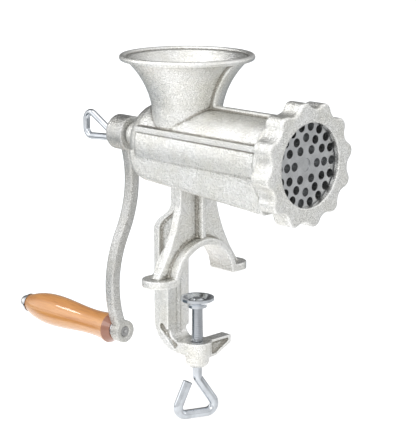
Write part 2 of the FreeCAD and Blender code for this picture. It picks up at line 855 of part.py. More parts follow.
def handle_spindle():
    """Steel pin riveted into the crank boss, which the grip turns on."""
    tail = grip_front_x() - grip_length - face_gap - handle_washer_thickness - cap_length / 2
    end = crank_boss_front_x - spindle_sunk
    dimple = Part.makeCone(
        0, spindle_dimple_radius, spindle_dimple_radius, V(end - spindle_dimple_radius, 0, 0), ALONG_X)
    pin = tube_x(spindle_radius, tail, end).cut(dimple)
    pin.translate(V(0, 0, -crank_radius))
    return pin


def grip_front_x():
    """Front face of the wooden grip."""
    return crank_boss_front_x - crank_boss_width - handle_washer_thickness - face_gap


def handle_washer(front):
    """Washer on the spindle with its front face at a given place."""
    rear = front - handle_washer_thickness
    washer = tube_x(handle_washer_radius, rear, front).cut(
        tube_x(spindle_radius + running_gap, rear - 1, front + 1))
    washer.translate(V(0, 0, -crank_radius))
    return washer


def handle_grip():
    """Turned wooden grip, bored for the spindle."""
    front = grip_front_x()
    shoulder = V(front - grip_chamfer, 0, grip_flare_radius)
    tail = V(front - grip_length, 0, grip_tail_radius)
    bore = spindle_radius + running_gap
    swell = Part.BSplineCurve()
    swell.interpolate([
        shoulder,
        V(front - grip_waist_at, 0, grip_waist_radius),
        V(front - grip_belly_at, 0, grip_belly_radius),
        tail,
    ])
    edges = chain([tail, V(tail.x, 0, bore), V(front, 0, bore), V(front, 0, grip_front_radius), shoulder])
    edges.append(swell.toShape())
    grip = spun_x(edges)
    grip.translate(V(0, 0, -crank_radius))
    return grip


def handle_cap_nut():
    """Domed nut on the outer end of the spindle."""
    front = grip_front_x() - grip_length - face_gap - handle_washer_thickness
    skirt = front - cap_skirt
    tip = front - cap_length
    bore_end = front - cap_length / 2
    rise = math.sqrt(0.5)
    edges = chain([
        V(tip, 0, 0), V(bore_end, 0, 0), V(bore_end, 0, spindle_radius), V(front, 0, spindle_radius),
        V(front, 0, cap_radius), V(skirt, 0, cap_radius)])
    edges.append(arc(
        V(skirt, 0, cap_radius),
        V(skirt - cap_radius * rise, 0, cap_radius * rise),
        V(tip, 0, 0)))
    cap = spun_x(edges)
    cap.translate(V(0, 0, -crank_radius))
    return cap


def pad_seat_z():
    """Under side of the dish floor, where the shoulder of the screw bears."""
    return pad_top_z - pad_height


def clamp_pad():
    """Dished swivel pad that presses on the under side of the table."""
    floor = pad_top_z - pad_dish_depth
    bottom = pad_seat_z()
    hole = pad_pin_radius + running_gap
    edges = chain([
        V(hole, 0, floor),
        V(pad_radius * 0.55, 0, floor),
        V(pad_radius - pad_rim, 0, pad_top_z),
        V(pad_radius, 0, pad_top_z),
        V(pad_radius, 0, pad_top_z - pad_rim),
        V(pad_collar_radius, 0, bottom + pad_rim),
        V(pad_collar_radius, 0, bottom),
        V(hole, 0, bottom),
        V(hole, 0, floor),
    ])
    return face(edges).revolve(ORIGIN, ALONG_Z, 360)


def clamp_screw():
    """Clamp screw: thread, riveted pin that carries the pad, and a bent triangular handle."""
    top = pad_seat_z() - face_gap
    thread = threaded_rod(screw_radius, screw_pitch, thread_depth, top - screw_thread_end_z)
    thread.translate(V(0, 0, screw_thread_end_z))
    floor = pad_top_z - pad_dish_depth + face_gap
    pin = tube_z(pad_pin_radius, top, floor + rivet_height)
    rivet = Part.makeCone(rivet_radius, rivet_radius * 0.7, rivet_height, V(0, 0, floor))
    rod = screw_rod_radius
    loop = bent_rod([
        V(0, 0, screw_thread_end_z + rod / 2),
        V(0, 0, loop_apex_z + rod),
        V(loop_half_width, 0, loop_base_z),
        V(-loop_half_width, 0, loop_base_z),
        V(-rod * 2 - loop_end_gap, 0, loop_apex_z + rod / 4),
    ], loop_bend_radius, rod)
    loop.rotate(ORIGIN, ALONG_Z, loop_turn_deg)
    return thread.multiFuse([pin, rivet, loop])


def main():
    grip_rear = grip_front_x() - grip_length - face_gap
    pieces = {
        "body_casting": body_casting(),
        "rear_bush": rear_bush(),
        "thrust_washer": thrust_washer(),
        "feed_screw": feed_screw(),
        "knife_stud": knife_stud(),
        "cutting_knife": cutting_knife(),
        "grinding_plate": grinding_plate(),
        "plate_key_pin": plate_key_pin(),
        "ring_nut": ring_nut(),
        "crank_arm": crank_arm(),
        "crank_washer": crank_washer(),
        "crank_thumb_screw": crank_thumb_screw(),
        "handle_spindle": handle_spindle(),
        "handle_front_washer": handle_washer(grip_front_x() + face_gap + handle_washer_thickness),
        "handle_grip": handle_grip(),
        "handle_rear_washer": handle_washer(grip_rear),
        "handle_cap_nut": handle_cap_nut(),
        "clamp_pad": clamp_pad(),
        "clamp_screw": clamp_screw(),
    }
    os.makedirs("parts", exist_ok=True)
    for name, shape in pieces.items():
        shape.translate(V(0, 0, axis_height))
        print(name, "solids", len(shape.Solids), "valid", shape.isValid(), "volume", round(shape.Volume))
        shape.exportStep("parts/" + name + ".step")


main()
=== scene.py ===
import math

import bmesh
import bpy
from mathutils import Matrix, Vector


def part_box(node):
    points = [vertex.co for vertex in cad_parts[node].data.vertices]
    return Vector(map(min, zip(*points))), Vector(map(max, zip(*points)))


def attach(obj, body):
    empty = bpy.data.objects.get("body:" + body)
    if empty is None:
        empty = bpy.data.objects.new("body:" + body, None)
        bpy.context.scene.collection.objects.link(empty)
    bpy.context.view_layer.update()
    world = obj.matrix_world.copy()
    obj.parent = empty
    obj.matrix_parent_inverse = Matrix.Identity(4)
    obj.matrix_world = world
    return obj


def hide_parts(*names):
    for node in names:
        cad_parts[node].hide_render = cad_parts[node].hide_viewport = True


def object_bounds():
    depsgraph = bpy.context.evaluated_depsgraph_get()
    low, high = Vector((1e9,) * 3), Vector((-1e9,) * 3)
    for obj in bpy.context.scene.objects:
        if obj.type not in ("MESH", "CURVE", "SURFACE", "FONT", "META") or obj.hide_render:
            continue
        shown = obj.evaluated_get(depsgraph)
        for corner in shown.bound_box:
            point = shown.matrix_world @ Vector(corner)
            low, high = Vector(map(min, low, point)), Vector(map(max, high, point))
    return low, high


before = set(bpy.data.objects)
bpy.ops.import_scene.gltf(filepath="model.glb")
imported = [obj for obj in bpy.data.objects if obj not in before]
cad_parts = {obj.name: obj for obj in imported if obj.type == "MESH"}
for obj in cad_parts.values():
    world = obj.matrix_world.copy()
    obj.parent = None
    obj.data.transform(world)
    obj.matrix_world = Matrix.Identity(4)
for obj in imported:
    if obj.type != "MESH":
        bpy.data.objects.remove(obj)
CAD_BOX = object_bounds()

bl_info = {
    "name": "Hand crank meat grinder",
    "version": (1, 0, 0),
    "blender": (4, 5, 0),
    "location": "3D View > Sidebar > Grinder",
    "description": "Dresses the packed grinder with cast, plated and wooden pieces",
    "category": "Object",
}

# The part, in metres
AXIS_Z = 0.1044  # height of the barrel's axis
COLLAR_CREST = 0.0382  # radius of the collar under the ring nut
COLLAR_MARGIN = 0.001  # plain run that the collar's thread leaves free
CLAMP_CREST = 0.005  # radius over the clamp screw's thread
CLAMP_CORE = 0.004  # radius just inside the roots of that thread
CLAMP_SLACK = 0.0002  # how far a crest may stand over its radius
CLAMP_BEND = -0.09  # height at which the screw runs on into its bent handle
GRIP_FRONT = 0.006  # length of the cut front end of the grip

# Copies of the CAD nodes
WELD = 2e-6  # loose vertices closer than this are joined
SLIVER = 1e-7  # faces thinner than this are dissolved
EASING = 0.5  # share of the way that a round of easing moves a vertex
MOST_TRIANGLES = 180000  # of one cast piece
RING_CELLS = 1.2  # cells of the ring nut, of the fine grain
WORM_CELLS = 0.8  # cells of the feed screw, of the body's grain
RECESS = "recess"  # vertex attribute with the depth below the eased skin
RECESS_PASSES = 16  # rounds of easing that the depth is measured against

# The stage, in metres
FLOOR_DROP = 0.028  # room for the clamp screw's handle at its lowest
FLOOR_Z = CAD_BOX[0].z - FLOOR_DROP
FLOOR_HALF = 6.0  # half a side of the floor
STAGE_RIGHT = (0.7071, 0.7071, 0.0)  # level directions that are fixed in the scene
STAGE_BACK = (-0.7071, 0.7071, 0.0)
DARK_PATCH = (-0.34, -0.305, FLOOR_Z)  # place that the low side of the barrel mirrors
HIGH_REAR = (-0.761, 0.204, 0.616)  # parts of the room that the castings mirror
HIGH_LEFT = (-0.779, -0.545, 0.309)
LAMP_AIM = Vector((-0.03, 0.0, 0.06))
LAMPS = (  # name, place, width, height, watts
    ("top softbox", (-0.20, -0.35, 1.05), 0.6, 0.6, 2.0),
    ("left strip", (-0.78, -0.92, 0.34), 0.4, 0.6, 0.4),
    ("window", (-0.84, -0.49, 0.71), 0.14, 0.14, 0.5),
    ("front softbox", (0.75, -1.00, 0.75), 0.8, 0.8, 3.0),
    ("right softbox", (1.00, 0.60, 0.50), 0.4, 0.4, 0.6),
)
CAMERA_PLACE = (0.87172, -0.86464, 0.33018)
CAMERA_TURN = math.radians(44.84)
CAMERA_PITCH = math.radians(12.75)
CAMERA_SENSOR = 36.0  # in millimetres, as the lens
CAMERA_LENS = 138.7
CAMERA_REACH = 50.0

# Fixed colours
WHITE = (1.0, 1.0, 1.0)
SAND_SHADE = (0.66, 0.66, 0.65)  # between the sparkling grains of a casting
# painted highlight along the crests of a casting, with some wear of the tin
RIDGE_HIGHLIGHT_TIN = (0.97, 0.97, 0.96)
THREAD_ROOT_PAINTED_SHADE = (0.22, 0.23, 0.25)  # painted shade in the roots of a thread
PORE_SHADE = (0.6, 0.5, 0.45)
PATCH_GREY = (0.12, 0.155, 0.18)
PAPER_WHITE = (0.92, 0.92, 0.915)


class CastingLook(bpy.types.PropertyGroup):
    """Tin plated castings."""

    grain: bpy.props.FloatProperty(
        name="Mesh grain", description="Size of the cells that round the edges of the body casting",
        default=0.0008, min=0.0004, unit="LENGTH")
    fine_grain: bpy.props.FloatProperty(
        name="Fine mesh grain", description="Size of the cells on the small castings",
        default=0.0007, min=0.0003, unit="LENGTH")
    light_tin: bpy.props.FloatVectorProperty(
        name="Light tin", description="Bright patches of the plating",
        subtype="COLOR", size=3, default=(0.95, 0.95, 0.94), min=0.0, max=1.0)
    dark_tin: bpy.props.FloatVectorProperty(
        name="Dark tin", description="Dull patches of the plating",
        subtype="COLOR", size=3, default=(0.87, 0.86, 0.81), min=0.0, max=1.0)
    # Painted shade: the crank gets a darker copy of the body's tin in place of less light on it.
    crank_painted_shade: bpy.props.FloatProperty(
        name="Crank painted shade", description="Brightness of the crank's plating beside the body's",
        default=0.7, min=0.0, max=1.0, subtype="FACTOR")
    # Painted shade: this dark film darkens corners and pits where shade falls, with some dirt in
    # them.
    painted_crease_shade: bpy.props.FloatVectorProperty(
        name="Painted crease shade", description="Dark film that stays in corners and pits",
        subtype="COLOR", size=3, default=(0.19, 0.175, 0.14), min=0.0, max=1.0)
    thread_pitch: bpy.props.FloatProperty(
        name="Collar thread pitch", description="Advance of the collar thread in a turn",
        default=0.004, min=0.001, unit="LENGTH")
    thread_depth: bpy.props.FloatProperty(
        name="Collar thread depth", description="Depth of the collar thread",
        default=0.0012, min=0.0, unit="LENGTH")


class HandleLook(bpy.types.PropertyGroup):
    """Turned wooden grip."""

    honey: bpy.props.FloatVectorProperty(
        name="Honey wood", description="Light wood between the grain lines",
        subtype="COLOR", size=3, default=(0.86, 0.40, 0.11), min=0.0, max=1.0)
    grain_brown: bpy.props.FloatVectorProperty(
        name="Grain brown", description="Darker grain lines",
        subtype="COLOR", size=3, default=(0.66, 0.255, 0.06), min=0.0, max=1.0)
    end_grain: bpy.props.FloatVectorProperty(
        name="End grain", description="Red brown wood of the cut front end",
        subtype="COLOR", size=3, default=(0.36, 0.125, 0.06), min=0.0, max=1.0)


class PlatedLook(bpy.types.PropertyGroup):
    """Plated screws, washers and cap, ground steel and the bush."""

    zinc: bpy.props.FloatVectorProperty(
        name="Zinc", description="Bluish bright zinc",
        subtype="COLOR", size=3, default=(0.62, 0.65, 0.69), min=0.0, max=1.0)
    chrome: bpy.props.FloatVectorProperty(
        name="Chrome", description="Bright cap on the end of the grip",
        subtype="COLOR", size=3, default=(0.82, 0.82, 0.81), min=0.0, max=1.0)
    steel: bpy.props.FloatVectorProperty(
        name="Steel", description="Ground steel of the cutting set and the thrust washer",
        subtype="COLOR", size=3, default=(0.58, 0.59, 0.60), min=0.0, max=1.0)
    # Darker than the other steel, partly as painted shade for the spindle's end sunk in the crank's
    # boss.
    spindle_painted_shade_steel: bpy.props.FloatVectorProperty(
        name="Spindle steel", description="Dark steel of the riveted spindle",
        subtype="COLOR", size=3, default=(0.40, 0.40, 0.40), min=0.0, max=1.0)
    bronze: bpy.props.FloatVectorProperty(
        name="Bronze", description="Bearing bronze of the rear bush",
        subtype="COLOR", size=3, default=(0.55, 0.36, 0.16), min=0.0, max=1.0)
    sharp_angle: bpy.props.FloatProperty(
        name="Sharp angle", description="Edges sharper than this stay crisp",
        default=math.radians(32), subtype="ANGLE")


def plug(tree, socket, value):
    """Links a socket to another one, or sets it to a number, vector or colour."""
    if isinstance(value, bpy.types.NodeSocket):
        tree.links.new(value, socket)
    else:
        socket.default_value = value


def plug_all(tree, node, inputs):
    """Plugs values into a node's inputs, by name or by place."""
    for name, value in inputs.items():
        plug(tree, node.inputs[name], value)


def new_node(tree, kind, inputs):
    """New node with its inputs plugged in."""
    node = tree.nodes.new(kind)
    plug_all(tree, node, inputs)
    return node


def node_tree(name):
    """New node material with its principled shader, and object coordinates."""
    material = bpy.data.materials.new(name)
    material.use_nodes = True
    tree = material.node_tree
    shader = tree.nodes["Principled BSDF"]
    place = tree.nodes.new("ShaderNodeTexCoord")
    return material, tree, shader, place.outputs["Object"]


def mapped(tree, vector, **inputs):
    """Coordinates moved by a Location or stretched by a Scale."""
    return new_node(tree, "ShaderNodeMapping", {"Vector": vector, **inputs}).outputs["Vector"]


def cloud(tree, vector, scale, detail=3.0, roughness=0.55):
    """Soft noise over the surface."""
    inputs = {"Vector": vector, "Scale": scale, "Detail": detail, "Roughness": roughness}
    return new_node(tree, "ShaderNodeTexNoise", inputs).outputs["Fac"]


def ramp(tree, value, stops):
    """Colours along a value."""
    node = new_node(tree, "ShaderNodeValToRGB", {"Fac": value})
    elements = node.color_ramp.elements
    for element, (position, colour) in zip(elements, (stops[0], stops[-1])):
        element.position = position
        element.color = (*colour, 1.0)
    for position, colour in stops[1:-1]:
        element = elements.new(position)
        element.color = (*colour, 1.0)
    return node.outputs["Color"]


def patchy(tree, value, colour, dulling, stops):
    """A colour that is duller where a value is low."""
    dull = tuple(c * dulling for c in colour)
    return ramp(tree, value, list(zip(stops, (dull, tuple(colour)))))


def span(tree, value, low, high, start=0.3, end=0.7):
    """Runs from low to high as a value goes from start to end."""
    node = new_node(tree, "ShaderNodeMapRange", {
        "Value": value, "From Min": start, "From Max": end, "To Min": low, "To Max": high})
    return node.outputs["Result"]


def dented(tree, height, depth, strength, skin=None):
    """Normal of a surface with relief from a height, over a relief that it already has."""
    node = new_node(tree, "ShaderNodeBump", {
        "Height": height, "Distance": depth, "Strength": strength})
    if skin is not None:
        plug(tree, node.inputs["Normal"], skin)
    return node.outputs["Normal"]


def blended(tree, blend, factor, first, second):
    """Two colours mixed, with a factor and colours that may be numbers or sockets."""
    node = tree.nodes.new("ShaderNodeMix")
    node.data_type = "RGBA"
    node.blend_type = blend
    sockets = {socket.name: socket for socket in node.inputs if socket.enabled}
    for name, value in (("Factor", factor), ("A", first), ("B", second)):
        plug(tree, sockets[name], value)
    return next(socket for socket in node.outputs if socket.enabled)


def arithmetic(tree, operation, first, second):
    """Sum, product or the like of two values, which may be numbers or sockets."""
    node = new_node(tree, "ShaderNodeMath", {0: first, 1: second})
    node.operation = operation
    return node.outputs["Value"]


def product(tree, first, *others):
    """Product of any number of values."""
    for other in others:
        first = arithmetic(tree, "MULTIPLY", first, other)
    return first


def vector_measure(tree, operation, vector, other):
    """Number that an operation on a vector and a fixed vector gives."""
    node = new_node(tree, "ShaderNodeVectorMath", {0: vector, 1: other})
    node.operation = operation
    return node.outputs["Value"]


def along(tree, vector, direction):
    """How far a vector reaches in a direction."""
    return vector_measure(tree, "DOT_PRODUCT", vector, direction)


def distance(tree, vector, point):
    """How far a place lies from a point."""
    return vector_measure(tree, "DISTANCE", vector, point)


def recess_of(tree):
    """Depth below the eased skin that the piece carries at each vertex."""
    node = tree.nodes.new("ShaderNodeAttribute")
    node.attribute_name = RECESS
    return node.outputs["Fac"]


def tinned_casting(name, look, wear_and_highlight=0.4, shade=1.0):
    """Tin plated sand casting: sandy grain, a painted highlight on its crests with some wear, and
    painted shade in its corners with some dirt.
    """
    material, tree, shader, place = node_tree(name)
    patches = cloud(tree, place, scale=60.0, detail=4.0, roughness=0.5)
    sand = cloud(tree, place, scale=1150.0, detail=1.0, roughness=0.5)
    pits = cloud(tree, place, scale=2300.0, detail=1.0, roughness=0.5)
    recess = recess_of(tree)
    # A shade below 1 makes a darker copy of the plating, as painted shade.
    dull, bright = [tuple(c * shade for c in tone) for tone in (look.dark_tin, look.light_tin)]
    tin = ramp(tree, patches, [(0.3, dull), (0.65, bright)])
    specks = ramp(tree, sand, [(0.34, SAND_SHADE), (0.58, WHITE)])
    tin = blended(tree, "MULTIPLY", 0.85, tin, specks)
    # Painted highlight, with some wear: crests standing over the eased skin turn towards bright
    # tin.
    ridge_highlight = span(tree, recess, 0.0, wear_and_highlight, start=-0.00016, end=-0.0005)
    tin = blended(tree, "MIX", ridge_highlight, tin, (*RIDGE_HIGHLIGHT_TIN, 1.0))
    # Painted shade, with some dirt: corners and pits below the eased skin turn towards the dark
    # film.
    ragged = product(tree, recess, span(tree, sand, 1.5, 0.6))
    corners = span(tree, ragged, 0.0, 0.8, start=0.00006, end=0.00036)
    tin = blended(tree, "MIX", corners, tin, (*look.painted_crease_shade, 1.0))
    skin = dented(tree, sand, depth=0.0005, strength=0.8)
    plug_all(tree, shader, {
        "Base Color": tin,
        "Roughness": span(tree, sand, 0.32, 0.22),
        "Metallic": 0.94,
        "Normal": dented(tree, pits, depth=0.0002, strength=0.5, skin=skin),
    })
    return material


def bright_plating(name, colour, roughness=0.12):
    """Bright plated metal with faint drawing marks, and painted shade in the roots of a thread."""
    material, tree, shader, place = node_tree(name)
    cloudy = cloud(tree, place, scale=160.0, detail=4.0)
    marks = cloud(tree, place, scale=900.0, detail=2.0)
    plate = patchy(tree, cloudy, colour, dulling=0.82, stops=(0.35, 0.62))
    # Painted shade: the roots of a thread turn towards a dark grey.
    roots = span(tree, recess_of(tree), 0.0, 0.55, start=0.0005, end=0.0008)
    plug_all(tree, shader, {
        "Base Color": blended(tree, "MIX", roots, plate, (*THREAD_ROOT_PAINTED_SHADE, 1.0)),
        "Roughness": span(tree, cloudy, roughness + 0.05, roughness - 0.05),
        "Metallic": 1.0,
        "Normal": dented(tree, marks, depth=0.0001, strength=0.25),
    })
    return material


def ground_steel(name, colour, turned):
    """Ground steel, with rings about the barrel's axis where it was turned."""
    material, tree, shader, place = node_tree(name)
    centred = mapped(tree, place, Location=(0.0, 0.0, -AXIS_Z))
    wave = new_node(tree, "ShaderNodeTexWave", {
        "Vector": centred, "Scale": 420.0, "Distortion": 1.2})
    wave.wave_type = "RINGS" if turned else "BANDS"
    wave.rings_direction = "X"
    marks = wave.outputs["Fac"]
    cloudy = cloud(tree, place, scale=120.0, detail=4.0)
    plug_all(tree, shader, {
        "Base Color": patchy(tree, cloudy, colour, dulling=0.78, stops=(0.3, 0.65)),
        "Roughness": span(tree, marks, 0.26, 0.38, start=0.0, end=1.0),
        "Metallic": 0.95,
        "Normal": dented(tree, marks, depth=0.00005, strength=0.2),
    })
    return material


def varnished_wood(name, look):
    """Turned wood with grain along the grip, under a glossy varnish."""
    material, tree, shader, place = node_tree(name)
    long_grain = mapped(tree, place, Scale=(9.0, 150.0, 150.0))
    fine_grain = mapped(tree, place, Scale=(40.0, 900.0, 900.0))
    figure = cloud(tree, long_grain, scale=1.0, detail=4.0, roughness=0.6)
    pores = cloud(tree, fine_grain, scale=1.0, detail=2.0, roughness=0.5)
    brown = tuple(look.grain_brown)
    honey = tuple(look.honey)
    warm = tuple(a * 0.45 + b * 0.55 for a, b in zip(brown, honey))
    wood = ramp(tree, figure, [(0.3, brown), (0.47, warm), (0.62, honey)])
    pitted = ramp(tree, pores, [(0.3, PORE_SHADE), (0.5, WHITE)])
    wood = blended(tree, "MULTIPLY", 0.4, wood, pitted)
    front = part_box("handle_grip")[1].x - GRIP_FRONT
    length = along(tree, place, (1.0, 0.0, 0.0))
    cut = span(tree, length, 0.0, 1.0, start=front - 0.0002, end=front + 0.0004)
    plug_all(tree, shader, {
        "Base Color": blended(tree, "MIX", cut, wood, (*look.end_grain, 1.0)),
        "Roughness": span(tree, figure, 0.42, 0.3),
        "Coat Weight": 1.0,
        "Coat IOR": 1.7,
        "Coat Roughness": 0.04,
        "Normal": dented(tree, pores, depth=0.00012, strength=0.3),
    })
    return material


def stage_strength(tree, for_camera, for_reflections, for_light):
    """Strength of a stage surface for the camera, for reflections and for light on the part."""
    rays = tree.nodes.new("ShaderNodeLightPath").outputs
    looked_at = rays["Is Camera Ray"]
    mirrored = arithmetic(tree, "MAXIMUM", rays["Is Glossy Ray"], rays["Is Transmission Ray"])
    shown = arithmetic(
        tree, "ADD", product(tree, looked_at, for_camera), product(tree, mirrored, for_reflections))
    seen = arithmetic(tree, "MAXIMUM", looked_at, mirrored)
    return arithmetic(tree, "ADD", shown, span(tree, seen, for_light, 0.0, start=0.0, end=1.0))


def merged_copy(node, name):
    """Copy of a CAD node as one joined skin."""
    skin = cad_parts[node].data.copy()
    skin.name = name
    skin.materials.clear()
    bm = bmesh.new()
    bm.from_mesh(skin)
    bmesh.ops.remove_doubles(bm, verts=bm.verts, dist=WELD)
    bmesh.ops.dissolve_degenerate(bm, edges=bm.edges, dist=SLIVER)
    bm.to_mesh(skin)
    bm.free()
    piece = bpy.data.objects.new(name, skin)
    bpy.context.scene.collection.objects.link(piece)
    return piece


def apply_modifiers(piece):
    """Replaces a piece's mesh by what its modifiers make of it."""
    graph = bpy.context.evaluated_depsgraph_get()
    made = bpy.data.meshes.new_from_object(piece.evaluated_get(graph))
    made.name = piece.name
    old = piece.data
    piece.modifiers.clear()
    piece.data = made
    bpy.data.meshes.remove(old)


def note_recesses(piece, depths):
    """Keeps at each vertex its depth, in metres."""
    piece.data.attributes.new(RECESS, "FLOAT", "POINT").data.foreach_set("value", depths)


def mark_recesses(piece):
    """Notes how deep each vertex of a casting lies below its eased skin."""
    bm = bmesh.new()
    bm.from_mesh(piece.data)
    for _ in range(RECESS_PASSES):
        bmesh.ops.smooth_vert(
            bm, verts=bm.verts, factor=EASING, use_axis_x=True, use_axis_y=True, use_axis_z=True)
    depths = [
        (eased.co - vertex.co).dot(vertex.normal)
        for eased, vertex in zip(bm.verts, piece.data.vertices)]
    bm.free()
    note_recesses(piece, depths)


def soft_edged(node, name, cell, passes):
    """Cast copy of a CAD node, with soft edges and corners, and larger faces on its flats."""
    piece = merged_copy(node, name)
    cells = piece.modifiers.new("cells", "REMESH")
    cells.mode = "VOXEL"
    cells.voxel_size = cell
    apply_modifiers(piece)
    ease = piece.modifiers.new("ease", "SMOOTH")
    ease.factor = EASING
    ease.iterations = passes
    apply_modifiers(piece)
    mark_recesses(piece)
    triangles = sum(len(polygon.vertices) - 2 for polygon in piece.data.polygons)
    if triangles > MOST_TRIANGLES:
        thin = piece.modifiers.new("thin", "DECIMATE")
        thin.ratio = MOST_TRIANGLES / triangles
        apply_modifiers(piece)
    piece.data.shade_smooth()
    return piece


def crisp(node, name, angle):
    """Joined copy of a CAD node, smooth over its curves and sharp at its corners."""
    piece = merged_copy(node, name)
    piece.data.shade_smooth()
    bm = bmesh.new()
    bm.from_mesh(piece.data)
    for edge in bm.edges:
        edge.smooth = len(edge.link_faces) == 2 and edge.calc_face_angle(0.0) < angle
    bm.to_mesh(piece.data)
    bm.free()
    return piece


def dress(piece, material, body, node):
    """Gives a piece its material and body, and lets it stand for its CAD node."""
    piece.data.materials.clear()
    piece.data.materials.append(material)
    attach(piece, body)
    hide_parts(node)


def finish_node(node, material):
    """Gives a CAD node that stays in view its material."""
    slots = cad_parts[node].data.materials
    slots.clear()
    slots.append(material)


class GRINDER_OT_body(bpy.types.Operator):
    """Body casting with soft cast edges and a threaded collar"""

    bl_idname = "grinder.body"
    bl_label = "Body casting"

    def execute(self, context):
        look = context.scene.grinder_casting
        piece = soft_edged("body_casting", "grinder_body", look.grain, passes=1)
        self.cut_collar_thread(piece, look)
        tin = tinned_casting("tinned body", look)
        dress(piece, tin, "casting", "body_casting")
        return {"FINISHED"}

    def cut_collar_thread(self, piece, look):
        """Sinks a thread into the collar, from the ring nut's rear to the front of the casting."""
        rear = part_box("ring_nut")[0].x + COLLAR_MARGIN
        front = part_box("body_casting")[1].x - COLLAR_MARGIN
        inside = COLLAR_CREST - COLLAR_MARGIN
        for vertex in piece.data.vertices:
            co = vertex.co
            across = Vector((0.0, co.y, co.z - AXIS_Z))
            if co.x < rear or co.x > front or across.length < inside:
                continue
            turn = math.atan2(across.z, across.y) / (2 * math.pi)
            phase = (co.x / look.thread_pitch - turn) % 1.0
            depth = look.thread_depth * (0.5 - 0.5 * math.cos(2 * math.pi * phase))
            across.normalize()
            vertex.co -= across * depth


class GRINDER_OT_ring(bpy.types.Operator):
    """Lobed ring nut"""

    bl_idname = "grinder.ring"
    bl_label = "Ring nut"

    def execute(self, context):
        look = context.scene.grinder_casting
        cell = look.fine_grain * RING_CELLS
        piece = soft_edged("ring_nut", "grinder_ring_nut", cell, passes=2)
        dress(piece, tinned_casting("tinned ring", look), "ring", "ring_nut")
        return {"FINISHED"}


class GRINDER_OT_crank(bpy.types.Operator):
    """Cast crank with its thumb screw and washer"""

    bl_idname = "grinder.crank"
    bl_label = "Crank and thumb screw"

    def execute(self, context):
        look = context.scene.grinder_casting
        plated = context.scene.grinder_plated
        arm = soft_edged("crank_arm", "grinder_crank", look.fine_grain, passes=2)
        # painted shade: a darker copy of the body's tin
        tin = tinned_casting("tinned crank", look, wear_and_highlight=0.0, shade=look.crank_painted_shade)
        dress(arm, tin, "rotor", "crank_arm")
        zinc = bright_plating("zinc thumb screw", plated.zinc)
        loop = crisp("crank_thumb_screw", "grinder_thumb_screw", plated.sharp_angle)
        dress(loop, zinc, "thumb_screw", "crank_thumb_screw")
        washer = crisp("crank_washer", "grinder_crank_washer", plated.sharp_angle)
        dress(washer, zinc, "thumb_washer", "crank_washer")
        return {"FINISHED"}


class GRINDER_OT_handle(bpy.types.Operator):
    """Wooden grip with its spindle, washers and cap nut"""

    bl_idname = "grinder.handle"
    bl_label = "Handle"

    def execute(self, context):
        plated = context.scene.grinder_plated
        wood = varnished_wood("varnished grip", context.scene.grinder_handle)
        grip = crisp("handle_grip", "grinder_grip", plated.sharp_angle)
        dress(grip, wood, "grip", "handle_grip")
        chrome = bright_plating("chrome cap", plated.chrome)
        cap = crisp("handle_cap_nut", "grinder_cap_nut", plated.sharp_angle)
        dress(cap, chrome, "rotor", "handle_cap_nut")
        zinc = bright_plating("zinc handle washer", plated.zinc)
        for node in ("handle_front_washer", "handle_rear_washer"):
            washer = crisp(node, "grinder_" + node, plated.sharp_angle)
            dress(washer, zinc, "rotor", node)
        # the spindle's darker steel is partly painted shade in the boss's hole
        finish_node("handle_spindle", ground_steel("steel spindle", plated.spindle_painted_shade_steel, False))
        return {"FINISHED"}


class GRINDER_OT_clamp(bpy.types.Operator):
    """Clamp screw with its bent handle, and the swivel pad"""

    bl_idname = "grinder.clamp"
    bl_label = "Clamp screw and pad"

    def execute(self, context):
        plated = context.scene.grinder_plated
        zinc = bright_plating("zinc clamp", plated.zinc)
        screw = crisp("clamp_screw", "grinder_clamp_screw", plated.sharp_angle)
        self.mark_thread_roots(screw)
        dress(screw, zinc, "clamp", "clamp_screw")
        pad = crisp("clamp_pad", "grinder_clamp_pad", plated.sharp_angle)
        dress(pad, zinc, "pad", "clamp_pad")
        return {"FINISHED"}

    def mark_thread_roots(self, screw):
        """Notes how deep each vertex of the thread lies below its crests."""
        depths = []
        for vertex in screw.data.vertices:
            reach = vertex.co.xy.length
            on_thread = CLAMP_CORE < reach < CLAMP_CREST + CLAMP_SLACK
            threaded = on_thread and vertex.co.z > CLAMP_BEND
            depths.append(CLAMP_CREST - reach if threaded else 0.0)
        note_recesses(screw, depths)


class GRINDER_OT_cutting_set(bpy.types.Operator):
    """Grinding plate, knife, stud and key pin"""

    bl_idname = "grinder.cutting_set"
    bl_label = "Cutting set"

    def execute(self, context):
        steel = ground_steel("ground steel", context.scene.grinder_plated.steel, True)
        for node in ("grinding_plate", "cutting_knife", "knife_stud", "plate_key_pin"):
            finish_node(node, steel)
        return {"FINISHED"}


class GRINDER_OT_feed(bpy.types.Operator):
    """Feed screw with its bush and thrust washer"""

    bl_idname = "grinder.feed"
    bl_label = "Feed screw"

    def execute(self, context):
        look = context.scene.grinder_casting
        plated = context.scene.grinder_plated
        worm = soft_edged("feed_screw", "grinder_feed_screw", look.grain * WORM_CELLS, passes=2)
        tin = tinned_casting("tinned feed screw", look)
        dress(worm, tin, "rotor", "feed_screw")
        finish_node("rear_bush", bright_plating("bush bronze", plated.bronze, roughness=0.3))
        finish_node("thrust_washer", ground_steel("washer steel", plated.steel, True))
        return {"FINISHED"}


